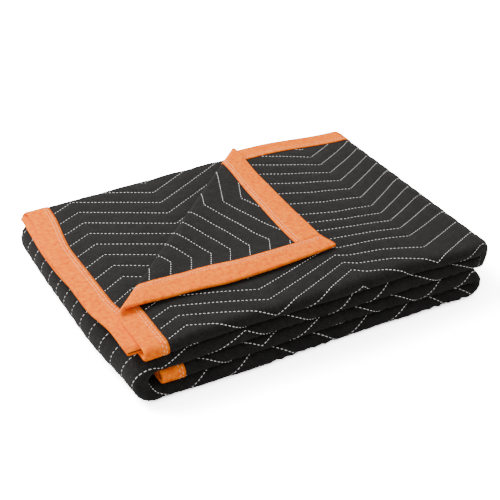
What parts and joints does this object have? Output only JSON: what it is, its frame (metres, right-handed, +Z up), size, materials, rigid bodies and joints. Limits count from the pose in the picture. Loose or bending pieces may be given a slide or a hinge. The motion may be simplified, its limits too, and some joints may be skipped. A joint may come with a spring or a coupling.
{
  "type": "moving pad",
  "caption": "Quilted moving pad with a bound edge, folded flat into a block with one top corner turned back over a diagonal crease.",
  "frame": {"origin": "middle of the footprint, on the surface that the folded pad rests on", "axes": "+X along the long side, towards the folded right end; +Y to the back; +Z up"},
  "size_m": [0.4784, 0.3487, 0.0876],
  "materials": {
    "quilted_panel": "black needled nonwoven, matt, with white zigzag sewing",
    "binding": "orange embossed nonwoven tape, matt"
  },
  "bodies": {
    "root": {"pad": "quilted_panel", "binding_end_top": "binding", "binding_end_inner": "binding", "binding_long_top": "binding", "binding_long_inner": "binding"}
  },
  "joints": []
}
